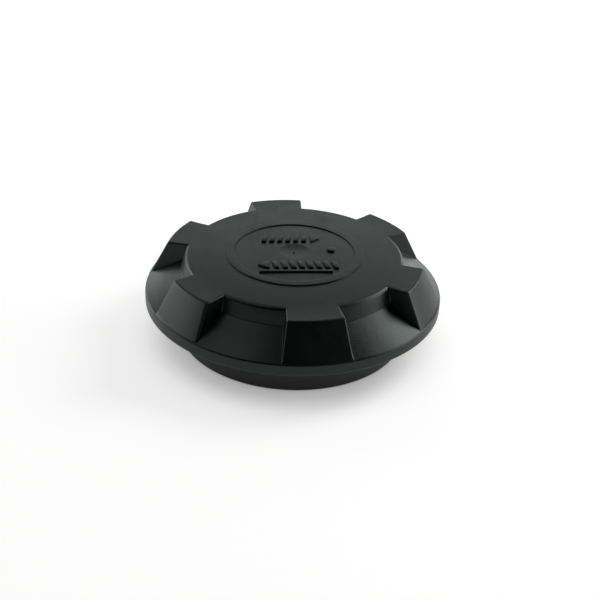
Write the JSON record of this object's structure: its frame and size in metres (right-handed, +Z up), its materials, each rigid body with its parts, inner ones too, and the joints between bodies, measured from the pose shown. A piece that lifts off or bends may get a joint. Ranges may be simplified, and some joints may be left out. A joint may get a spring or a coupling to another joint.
{
  "type": "fuel cap",
  "caption": "Ratcheting, vented screw-on cap for a fuel tank: lugged grip shell over a threaded closure with its valve.",
  "frame": {"origin": "on the floor under the middle of the collar's foot", "axes": "+Z up along the thread's axis, towards the crown; the marks on the crown read upright from -Y"},
  "size_m": [0.1, 0.1, 0.0305],
  "materials": {
    "shell_plastic": "satin",
    "closure_plastic": "satin",
    "valve_plastic": "satin",
    "acetal": "satin",
    "nitrile_rubber": "matte",
    "filter_foam": "matte",
    "spring_steel": "satin"
  },
  "bodies": {
    "closure": {"threaded_closure": "closure_plastic", "neck_gasket": "nitrile_rubber", "dust_filter": "filter_foam", "valve_housing": "valve_plastic", "housing_seal": "nitrile_rubber", "spring_retainer": "valve_plastic", "splash_baffle": "valve_plastic", "pressure_spring": "spring_steel"},
    "shell": {"grip_shell": "shell_plastic", "ratchet_ring": "acetal", "retaining_ring": "acetal"},
    "pressure_valve": {"pressure_plate": "valve_plastic", "pressure_seal": "nitrile_rubber", "vacuum_spring": "spring_steel"},
    "vacuum_poppet": {"vacuum_valve": "valve_plastic", "stem_clip": "spring_steel"}
  },
  "joints": [
    {"name": "shell_turn", "type": "hinge", "parent": "closure", "child": "shell", "pos_m": [0, 0, 0.02], "axis": [0, 0, 1], "continuous": true},
    {"name": "pressure_lift", "type": "slide", "parent": "closure", "child": "pressure_valve", "axis": [0, 0, 1], "range_m": [0, 0.0015], "stiffness_N_per_m": 60, "springref_m": -0.003, "deforming": ["pressure_spring"]},
    {"name": "vacuum_drop", "type": "slide", "parent": "pressure_valve", "child": "vacuum_poppet", "axis": [0, 0, -1], "range_m": [0, 0.0012], "stiffness_N_per_m": 20, "springref_m": -0.003, "deforming": ["vacuum_spring"]}
  ]
}
